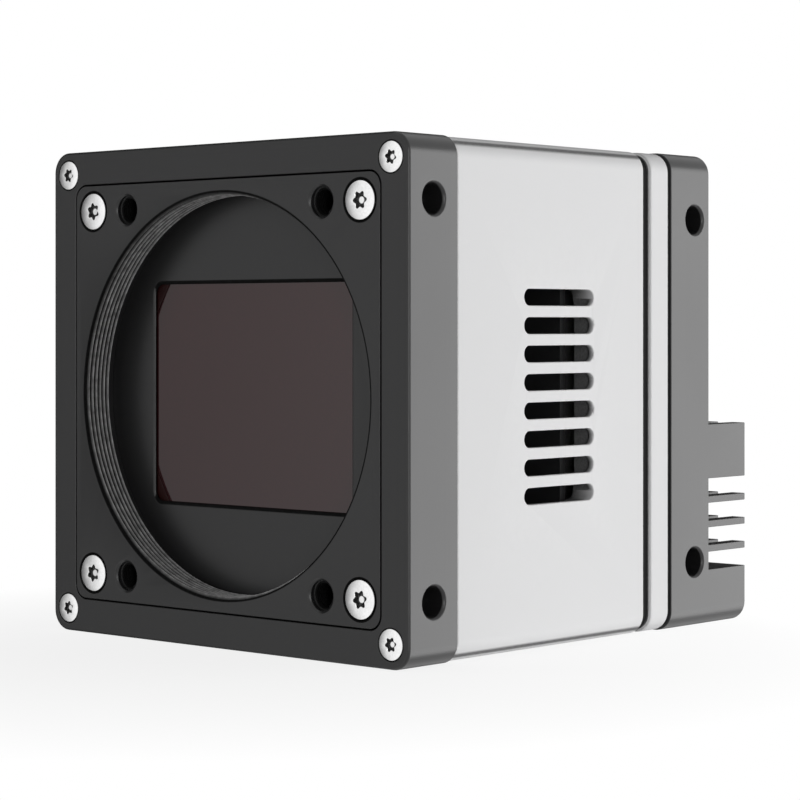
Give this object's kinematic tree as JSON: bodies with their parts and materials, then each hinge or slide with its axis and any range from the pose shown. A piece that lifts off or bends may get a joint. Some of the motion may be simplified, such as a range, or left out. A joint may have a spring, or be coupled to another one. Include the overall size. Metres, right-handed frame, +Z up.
{
  "type": "machine vision camera",
  "caption": "Square machine vision camera with a large threaded lens mount, side vents, a pin-fin heat sink and coaxial data sockets on the back.",
  "frame": {"origin": "on the lens axis at the front mounting face", "axes": "-Y leaves the front along the lens axis, +Z is up and +X is the side that the picture shows"},
  "size_m": [0.072, 0.079, 0.072],
  "materials": {
    "black_anodised": "fine matt black anodised",
    "silver_anodised": "fine bead-blasted, clear anodised",
    "screw_steel": "bright turned stainless steel",
    "dark_red_anodised": "matt, nearly black with a red tint",
    "filter_glass": "coated optical glass with a brown reflection",
    "clear_glass": "polished",
    "black_rubber": "matt moulded",
    "sensor_ceramic": "fired dark brown ceramic",
    "silicon": "polished silicon",
    "circuit_board": "green solder mask on glass fibre",
    "nickelled_metal": "nickel plated brass",
    "thermal_pad": "soft grey-blue silicone",
    "bare_aluminium": "milled",
    "black_plastic": "glass-filled, moulded",
    "bearing_brass": "sintered",
    "coil_copper": "wound copper",
    "chip_plastic": "moulded, matt",
    "white_insulator": "turned white plastic",
    "contact_gold": "gold plated",
    "light_lens": "milky light pipe"
  },
  "bodies": {
    "camera": {"blower_bearing": "bearing_brass", "blower_cover": "black_plastic", "blower_housing": "black_plastic", "blower_screws": "screw_steel", "blower_stator": "coil_copper", "board_connector": "black_plastic", "body_seal": "black_rubber", "data_insulators": "white_insulator", "data_pins": "contact_gold", "data_sockets": "nickelled_metal", "filter_glass": "filter_glass", "filter_holder": "dark_red_anodised", "front_plate": "black_anodised", "front_screws": "screw_steel", "heat_spreader": "bare_aluminium", "housing_shell": "silver_anodised", "lens_mount_plate": "black_anodised", "main_board": "circuit_board", "main_board_screws": "screw_steel", "main_board_spacers": "nickelled_metal", "memory_chips": "chip_plastic", "mount_plate_screws": "screw_steel", "power_coils": "chip_plastic", "power_pins": "contact_gold", "power_socket": "nickelled_metal", "processor": "chip_plastic", "processor_thermal_pad": "thermal_pad", "rear_bulkhead": "bare_aluminium", "rear_plate": "black_anodised", "rear_ring": "silver_anodised", "rear_screws": "screw_steel", "sensor_board": "circuit_board", "sensor_board_screws": "screw_steel", "sensor_board_spacers": "nickelled_metal", "sensor_cover_glass": "clear_glass", "sensor_die": "silicon", "sensor_gasket": "black_rubber", "sensor_package": "sensor_ceramic", "sensor_thermal_pad": "thermal_pad", "socket_board": "circuit_board", "status_light": "light_lens"},
    "blower_rotor": {"blower_wheel": "black_plastic"}
  },
  "joints": [
    {"name": "blower_spin", "type": "hinge", "parent": "camera", "child": "blower_rotor", "pos_m": [0.00515, 0.0318, 0], "axis": [0, 1, 0], "continuous": true}
  ]
}
